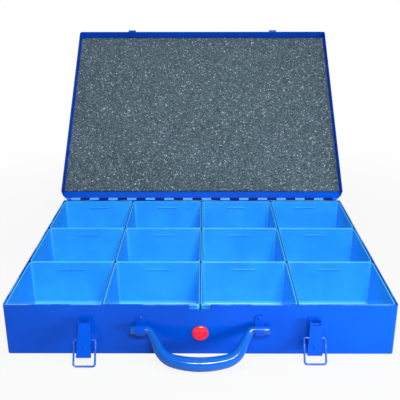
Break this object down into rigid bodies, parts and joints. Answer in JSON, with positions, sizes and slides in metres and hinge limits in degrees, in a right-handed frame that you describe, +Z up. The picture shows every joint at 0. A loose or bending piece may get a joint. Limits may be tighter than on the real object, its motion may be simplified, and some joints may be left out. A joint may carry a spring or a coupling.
{
  "type": "compartment storage box",
  "caption": "Flat sheet steel case for small parts, with lift-out plastic bins, a foam-lined hinged lid, toggle latches and a bow handle.",
  "frame": {"origin": "centre of the underside of the case, on the surface it stands on", "axes": "+Z up, +Y from the handle towards the hinge, +X to the right of someone facing the handle"},
  "size_m": [0.4406, 0.6196, 0.2985],
  "materials": {
    "case_paint": "gloss blue enamel",
    "bin_plastic": "semi-gloss moulded polystyrene",
    "foam": "open-cell grey foam",
    "cap_plastic": "gloss red",
    "bail_wire": "gloss blue enamel on steel wire"
  },
  "bodies": {
    "case": {"case_tray": "case_paint", "hinge_leaf_case": "case_paint", "hinge_pin": "case_paint", "latch_plate_left": "case_paint", "latch_plate_right": "case_paint", "latch_pin_left": "case_paint", "latch_pin_right": "case_paint", "latch_rivets": "case_paint", "handle_strap_left": "case_paint", "handle_strap_right": "case_paint", "strap_rivets": "case_paint", "front_cap": "cap_plastic"},
    "lid": {"lid_pan": "case_paint", "lid_foam": "foam", "hinge_leaf_lid": "case_paint", "lid_hook_left": "case_paint", "lid_hook_right": "case_paint"},
    "handle": {"handle": "case_paint"},
    "latch_lever_left": {"latch_lever_left": "case_paint"},
    "latch_bail_left": {"latch_bail_left": "bail_wire"},
    "latch_lever_right": {"latch_lever_right": "case_paint"},
    "latch_bail_right": {"latch_bail_right": "bail_wire"},
    "bin_1_1": {"bin_1_1": "bin_plastic"},
    "bin_1_2": {"bin_1_2": "bin_plastic"},
    "bin_1_3": {"bin_1_3": "bin_plastic"},
    "bin_1_4": {"bin_1_4": "bin_plastic"},
    "bin_2_1": {"bin_2_1": "bin_plastic"},
    "bin_2_2": {"bin_2_2": "bin_plastic"},
    "bin_2_3": {"bin_2_3": "bin_plastic"},
    "bin_2_4": {"bin_2_4": "bin_plastic"},
    "bin_3_1": {"bin_3_1": "bin_plastic"},
    "bin_3_2": {"bin_3_2": "bin_plastic"},
    "bin_3_3": {"bin_3_3": "bin_plastic"},
    "bin_3_4": {"bin_3_4": "bin_plastic"}
  },
  "joints": [
    {"name": "lid_hinge", "type": "hinge", "parent": "case", "child": "lid", "pos_m": [0, 0.16665, 0.06335], "axis": [-1, 0, 0], "range_deg": [-138, 0]},
    {"name": "handle_swing", "type": "hinge", "parent": "case", "child": "handle", "pos_m": [0, -0.1693, 0.0344], "axis": [-1, 0, 0], "range_deg": [-38, 122]},
    {"name": "latch_lever_left_swing", "type": "hinge", "parent": "case", "child": "latch_lever_left", "pos_m": [-0.1265, -0.1703, 0.0428], "axis": [-1, 0, 0], "range_deg": [-26, 84]},
    {"name": "latch_bail_left_swing", "type": "hinge", "parent": "latch_lever_left", "child": "latch_bail_left", "pos_m": [-0.1265, -0.17644, 0.02633], "axis": [1, 0, 0], "range_deg": [-175.26, 5.92]},
    {"name": "latch_lever_right_swing", "type": "hinge", "parent": "case", "child": "latch_lever_right", "pos_m": [0.1265, -0.1703, 0.0428], "axis": [-1, 0, 0], "range_deg": [-4, 106]},
    {"name": "latch_bail_right_swing", "type": "hinge", "parent": "latch_lever_right", "child": "latch_bail_right", "pos_m": [0.1265, -0.16982, 0.02522], "axis": [1, 0, 0], "range_deg": [-148.84, 32.34]},
    {"name": "bin_1_1_lift", "type": "slide", "parent": "case", "child": "bin_1_1", "axis": [0, 0, 1], "range_m": [0, 0.065]},
    {"name": "bin_1_2_lift", "type": "slide", "parent": "case", "child": "bin_1_2", "axis": [0, 0, 1], "range_m": [0, 0.065]},
    {"name": "bin_1_3_lift", "type": "slide", "parent": "case", "child": "bin_1_3", "axis": [0, 0, 1], "range_m": [0, 0.065]},
    {"name": "bin_1_4_lift", "type": "slide", "parent": "case", "child": "bin_1_4", "axis": [0, 0, 1], "range_m": [0, 0.065]},
    {"name": "bin_2_1_lift", "type": "slide", "parent": "case", "child": "bin_2_1", "axis": [0, 0, 1], "range_m": [0, 0.065]},
    {"name": "bin_2_2_lift", "type": "slide", "parent": "case", "child": "bin_2_2", "axis": [0, 0, 1], "range_m": [0, 0.065]},
    {"name": "bin_2_3_lift", "type": "slide", "parent": "case", "child": "bin_2_3", "axis": [0, 0, 1], "range_m": [0, 0.065]},
    {"name": "bin_2_4_lift", "type": "slide", "parent": "case", "child": "bin_2_4", "axis": [0, 0, 1], "range_m": [0, 0.065]},
    {"name": "bin_3_1_lift", "type": "slide", "parent": "case", "child": "bin_3_1", "axis": [0, 0, 1], "range_m": [0, 0.065]},
    {"name": "bin_3_2_lift", "type": "slide", "parent": "case", "child": "bin_3_2", "axis": [0, 0, 1], "range_m": [0, 0.065]},
    {"name": "bin_3_3_lift", "type": "slide", "parent": "case", "child": "bin_3_3", "axis": [0, 0, 1], "range_m": [0, 0.065]},
    {"name": "bin_3_4_lift", "type": "slide", "parent": "case", "child": "bin_3_4", "axis": [0, 0, 1], "range_m": [0, 0.065]}
  ]
}
